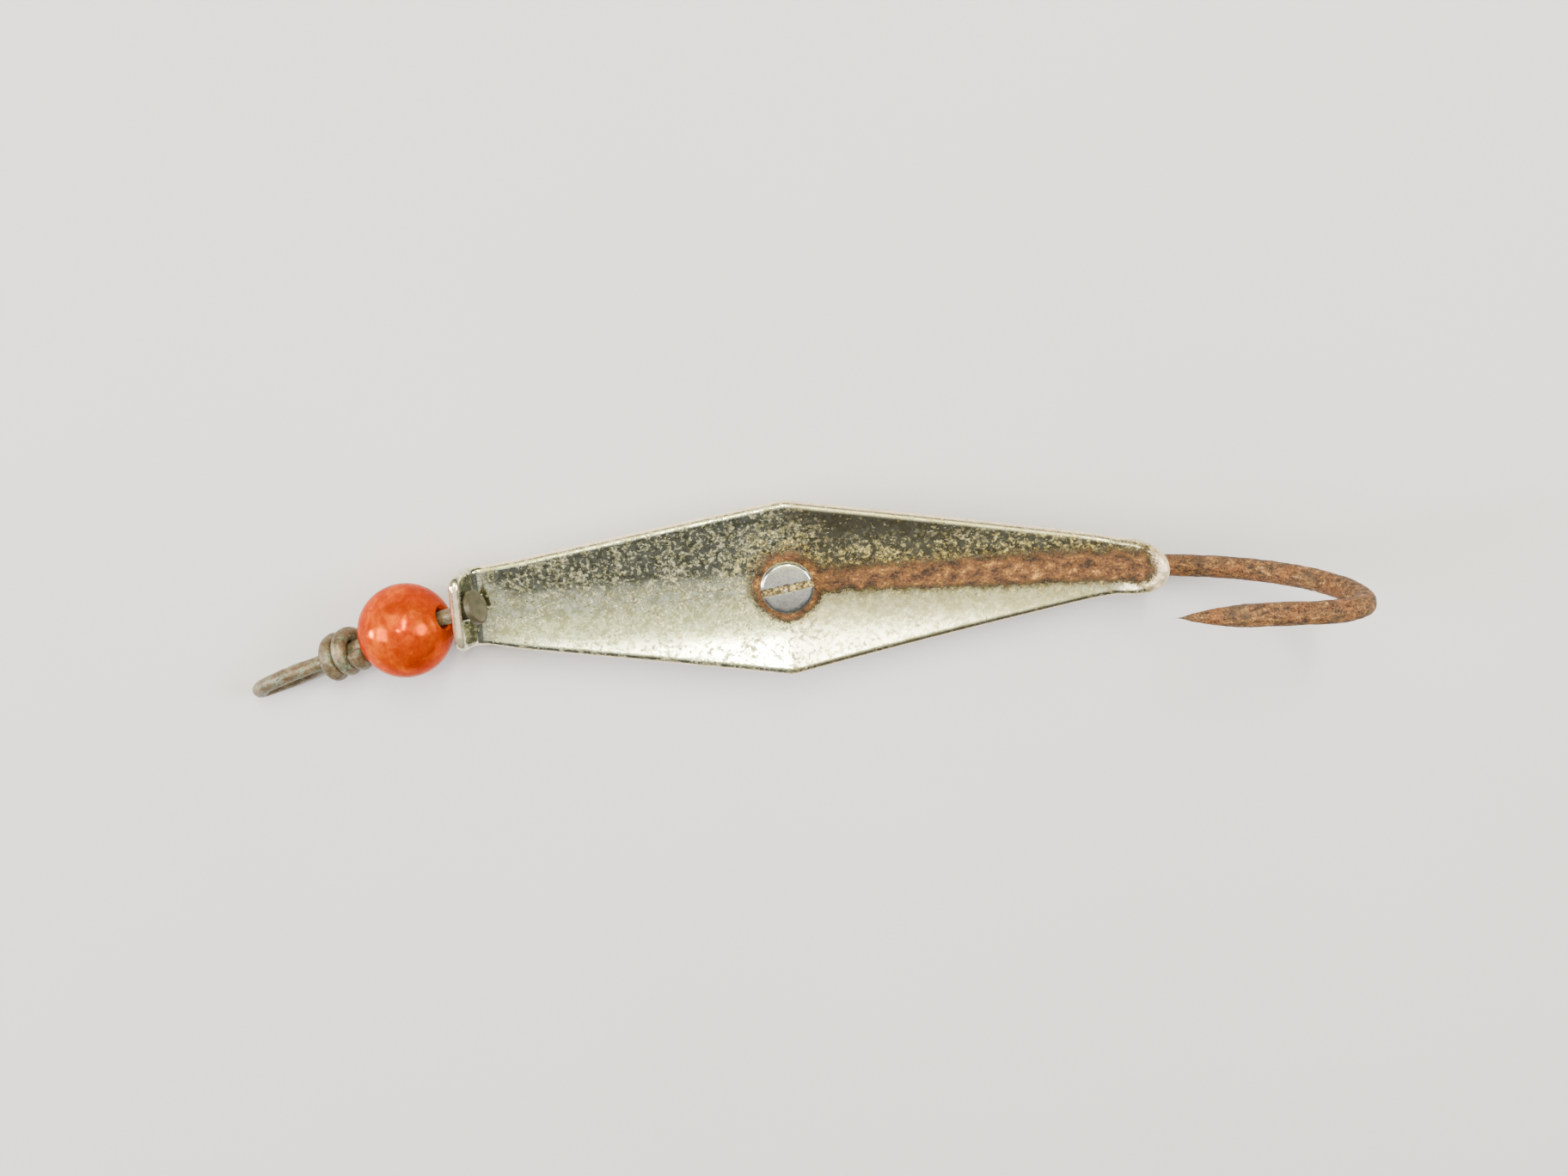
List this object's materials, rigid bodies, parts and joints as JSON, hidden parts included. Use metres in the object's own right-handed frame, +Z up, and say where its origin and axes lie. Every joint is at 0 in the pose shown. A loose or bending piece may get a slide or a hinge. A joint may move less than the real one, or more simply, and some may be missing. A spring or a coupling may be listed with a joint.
{
  "type": "spoon lure",
  "caption": "Dished lozenge trolling spoon with a clamped single hook, a drilled bead and a twisted wire line loop.",
  "frame": {"origin": "under the middle of the whole lure, on the surface that it stands on", "axes": "+X along the lure from the line loop to the hook's bend, +Z up out of the plate's dished face, +Y across the plate"},
  "size_m": [0.1172, 0.0198, 0.0231],
  "materials": {
    "worn_plating": "worn, tarnished nickel plate with a rust stain from the screw to the tail",
    "rusted_steel": "brown rust, pitted",
    "nickel": "dull nickel plate with fine scratches",
    "amber_bead": "translucent, mottled, glossy",
    "old_brass": "dull brown with pale green verdigris"
  },
  "bodies": {
    "spoon": {"spoon_plate": "worn_plating", "hook": "rusted_steel", "screw": "nickel", "washer": "nickel", "nut": "nickel"},
    "bead": {"bead": "amber_bead"},
    "link": {"link_wire": "old_brass"}
  },
  "joints": [
    {"name": "link_swing", "type": "hinge", "parent": "spoon", "child": "bead", "pos_m": [-0.03351, 0.00044, 0.00993], "axis": [-0.2079, 0, 0.9781], "range_deg": [-41, 4]},
    {"name": "link_turn", "type": "hinge", "parent": "bead", "child": "link", "pos_m": [-0.03351, 0.00044, 0.00993], "axis": [0.9083, 0.3039, 0.2874], "continuous": true}
  ]
}
